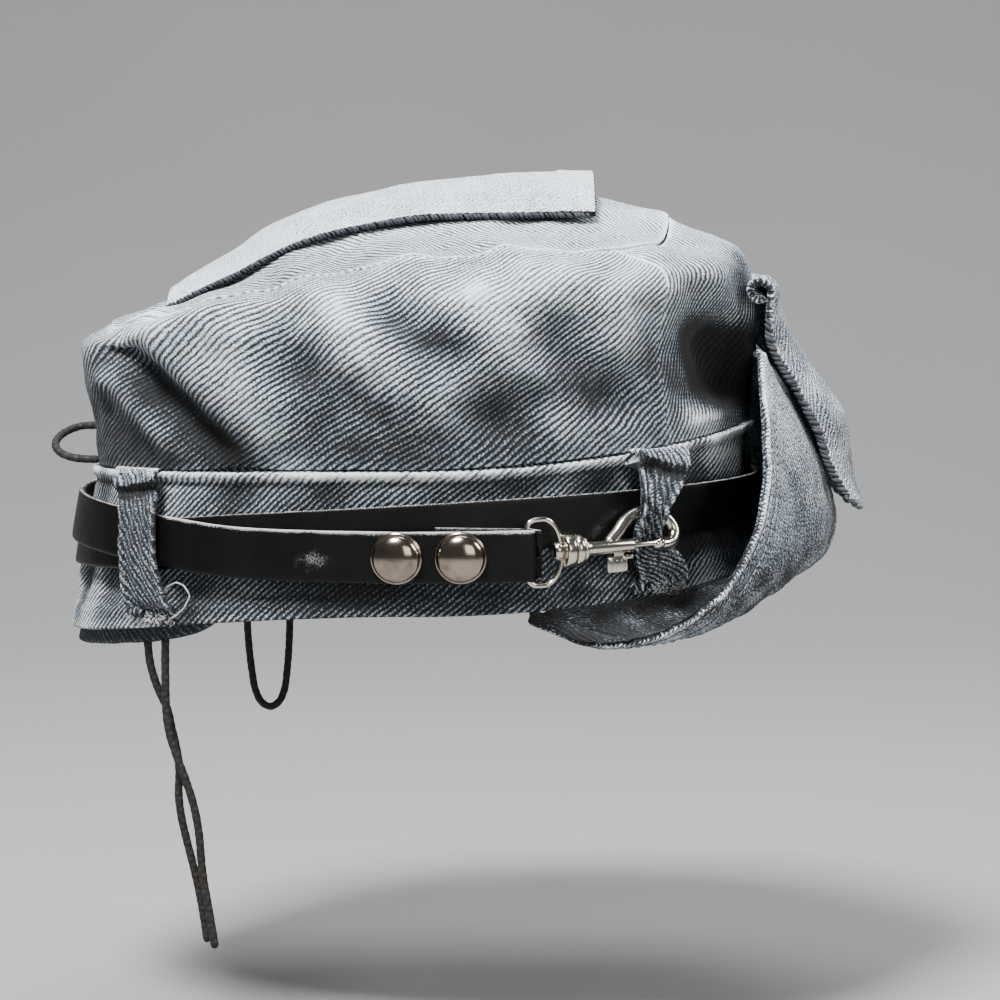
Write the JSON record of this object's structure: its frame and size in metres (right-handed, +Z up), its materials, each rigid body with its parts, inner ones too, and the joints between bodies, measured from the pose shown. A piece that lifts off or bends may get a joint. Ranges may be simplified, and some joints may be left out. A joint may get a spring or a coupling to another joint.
{
  "type": "denim biker cap",
  "caption": "Soft denim cap with a turned-up visor, a black leather strap wound round its band and a metal swivel snap.",
  "frame": {"origin": "centre of the head opening, at the height where the rim meets the brow", "axes": "+Z up as worn, -Y towards the front, -X towards the wearer's right"},
  "size_m": [0.1781, 0.2382, 0.2177],
  "materials": {
    "denim": "washed twill",
    "leather": "smooth, lightly waxed",
    "nickel": "polished nickel plate",
    "waxed_cord": "waxed"
  },
  "bodies": {
    "cap_body": {"crown_front": "denim", "crown_side_right": "denim", "crown_side_left": "denim", "crown_top": "denim", "headband": "denim", "cord_casing": "denim", "visor": "denim", "top_strip": "denim", "front_tab": "denim", "belt_loop_right_rear": "denim", "belt_loop_right_front": "denim", "belt_loop_left_rear": "denim", "belt_loop_left_front": "denim", "leather_strap": "leather", "rivet_rear": "nickel", "rivet_front": "nickel", "snap_eye": "nickel", "snap_hook": "nickel", "cord_tail_a": "waxed_cord", "cord_tail_b": "waxed_cord", "cord_back_loop": "waxed_cord", "cord_side_loop": "waxed_cord"},
    "gate": {"snap_gate": "nickel"}
  },
  "joints": [
    {"name": "gate_slide", "type": "slide", "parent": "cap_body", "child": "gate", "axis": [-0.3638, 0.9306, -0.04], "range_m": [0, 0.006], "stiffness_N_per_m": 250, "springref_m": -0.002}
  ]
}
